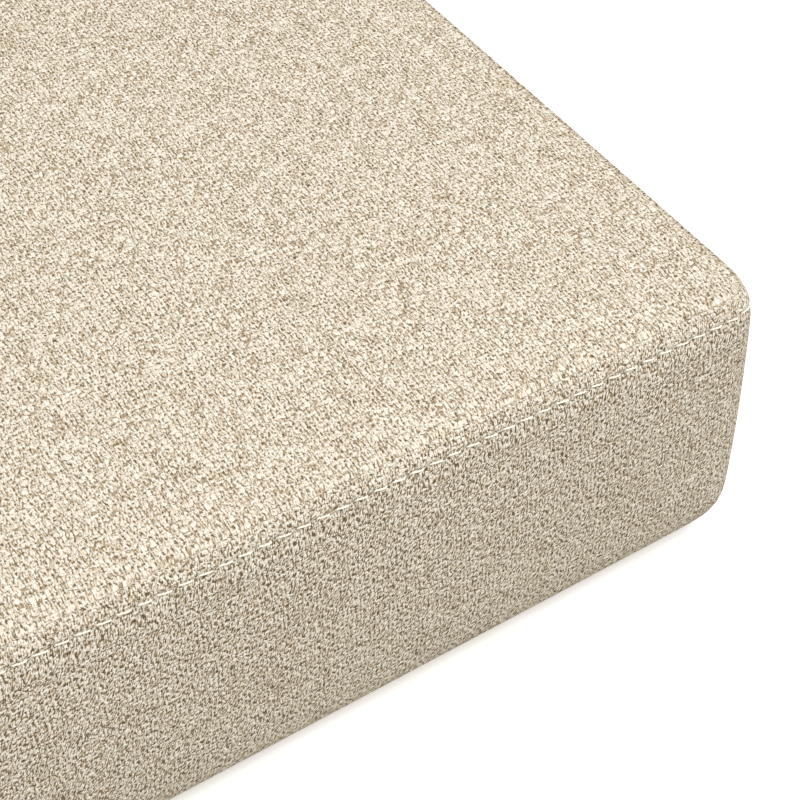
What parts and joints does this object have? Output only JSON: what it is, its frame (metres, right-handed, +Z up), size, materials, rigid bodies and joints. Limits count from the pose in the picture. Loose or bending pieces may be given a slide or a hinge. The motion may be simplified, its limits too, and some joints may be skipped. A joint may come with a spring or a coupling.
{
  "type": "window seat cushion",
  "caption": "Boxed window seat cushion in beige woven upholstery cloth, with a crowned top, drawn-in sides and topstitching below the top seam.",
  "frame": {"origin": "the middle of the rectangle that bounds the underside, on the surface it lies on", "axes": "+X runs along the length, +Y from the front side to the back side, +Z up through the crown"},
  "size_m": [0.9, 0.4, 0.0603],
  "materials": {
    "cover_cloth": "matte woven"
  },
  "bodies": {
    "root": {"cushion": "cover_cloth"}
  },
  "joints": []
}
